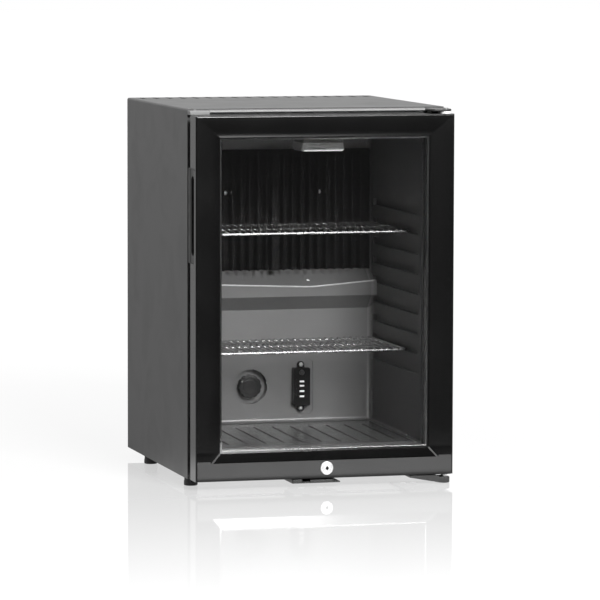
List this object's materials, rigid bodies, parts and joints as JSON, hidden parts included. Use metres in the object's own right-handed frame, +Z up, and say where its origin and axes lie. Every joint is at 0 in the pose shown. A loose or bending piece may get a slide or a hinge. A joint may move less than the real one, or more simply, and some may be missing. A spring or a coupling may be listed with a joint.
{
  "type": "bar fridge",
  "caption": "Counter-top absorption bar fridge: grey cabinet, framed glass door hinged on the right, chrome wire shelves, finned cooling plate, thermostat dial and door lock.",
  "frame": {"origin": "centre of the bounding box in plan, on the floor under the feet", "axes": "+X to the viewer's right when facing the door, +Y to the back, +Z up"},
  "size_m": [0.4036, 0.4508, 0.5675],
  "materials": {
    "cabinet_paint": "satin grey powder coat, fine orange peel",
    "trim_grey": "satin",
    "galvanised": "zinc sheet",
    "liner_plastic": "moulded, satin grey",
    "foam": "rigid foam",
    "foot_black": "moulded",
    "plate_black": "satin black coat",
    "screw_steel": "zinc plated",
    "lamp_diffuser": "frosted, translucent",
    "lamp_base": "moulded",
    "board_green": "coated board",
    "module_black": "satin black",
    "dial_grey": "satin",
    "button_black": "satin",
    "indicator_light": "clear light pipe",
    "nylon_white": "moulded nylon",
    "bracket_black": "satin black coat",
    "unit_black": "matt black coat on tube",
    "fin_steel": "plain sheet",
    "frame_black": "gloss black",
    "cover_grey": "satin grey",
    "clear_glass": "clear",
    "spacer_metal": "anodised grey",
    "bead_black": "satin",
    "gasket_rubber": "soft matt",
    "grip_black": "fine grain",
    "lock_chrome": "polished",
    "chrome_wire": "polished"
  },
  "bodies": {
    "cabinet": {"cabinet_shell": "cabinet_paint", "base_pan": "galvanised", "top_front_trim": "trim_grey", "spare_hinge_cap": "trim_grey", "liner": "liner_plastic", "foam_insulation": "foam", "rear_panel": "galvanised", "cabinet_feet": "foot_black", "cooling_plate": "plate_black", "cooling_plate_screws": "screw_steel", "lamp_housing": "lamp_base", "lamp_board": "board_green", "lamp_lens": "lamp_diffuser", "indicator_housing": "module_black", "indicator_lights": "indicator_light", "indicator_screws": "screw_steel", "thermostat_body": "module_black", "drain_tube": "nylon_white", "drip_tray": "nylon_white", "upper_hinge_bracket": "bracket_black", "lower_hinge_bracket": "bracket_black", "hinge_pins": "screw_steel", "hinge_foot": "foot_black", "bracket_screws": "screw_steel", "lock_striker": "bracket_black", "striker_wing": "bracket_black", "cooling_tube": "unit_black", "condenser_pipe": "unit_black", "condenser_fins": "fin_steel", "absorber_coil": "unit_black", "receiver_vessel": "unit_black", "return_pipe": "unit_black", "boiler_housing": "galvanised", "unit_brackets": "galvanised", "terminal_box": "module_black", "cord_inlet": "foot_black"},
    "door": {"door_stile_left": "frame_black", "door_stile_right": "frame_black", "door_top_rail": "frame_black", "door_bottom_rail": "frame_black", "bottom_rail_cover": "cover_grey", "glass_front": "clear_glass", "glass_rear": "clear_glass", "glass_spacer": "spacer_metal", "glazing_bead": "bead_black", "door_gasket": "gasket_rubber", "side_grip_left": "grip_black", "side_grip_right": "grip_black", "door_bushes": "nylon_white", "lock_barrel": "lock_chrome"},
    "lock": {"lock_plug": "lock_chrome", "lock_cam": "screw_steel"},
    "dial": {"thermostat_dial": "dial_grey", "thermostat_spindle": "screw_steel"},
    "button": {"indicator_button": "button_black"},
    "upper_shelf": {"shelf_upper": "chrome_wire", "shelf_upper_wires": "chrome_wire"},
    "lower_shelf": {"shelf_lower": "chrome_wire", "shelf_lower_wires": "chrome_wire"}
  },
  "joints": [
    {"name": "door_hinge", "type": "hinge", "parent": "cabinet", "child": "door", "pos_m": [0.191, -0.2056, 0.28], "axis": [0, 0, 1], "range_deg": [0, 110]},
    {"name": "lock_turn", "type": "hinge", "parent": "door", "child": "lock", "pos_m": [0.002, -0.21, 0.0299], "axis": [0, 1, 0], "range_deg": [0, 90]},
    {"name": "dial_turn", "type": "hinge", "parent": "cabinet", "child": "dial", "pos_m": [-0.0365, 0.09, 0.1203], "axis": [0, 1, 0], "range_deg": [0, 270]},
    {"name": "button_press", "type": "slide", "parent": "cabinet", "child": "button", "axis": [0, 1, 0], "range_m": [0, 0.0015], "stiffness_N_per_m": 400},
    {"name": "upper_shelf_slide", "type": "slide", "parent": "cabinet", "child": "upper_shelf", "axis": [0, -1, 0], "range_m": [0, 0.04]},
    {"name": "lower_shelf_slide", "type": "slide", "parent": "cabinet", "child": "lower_shelf", "axis": [0, -1, 0], "range_m": [0, 0.04]}
  ]
}
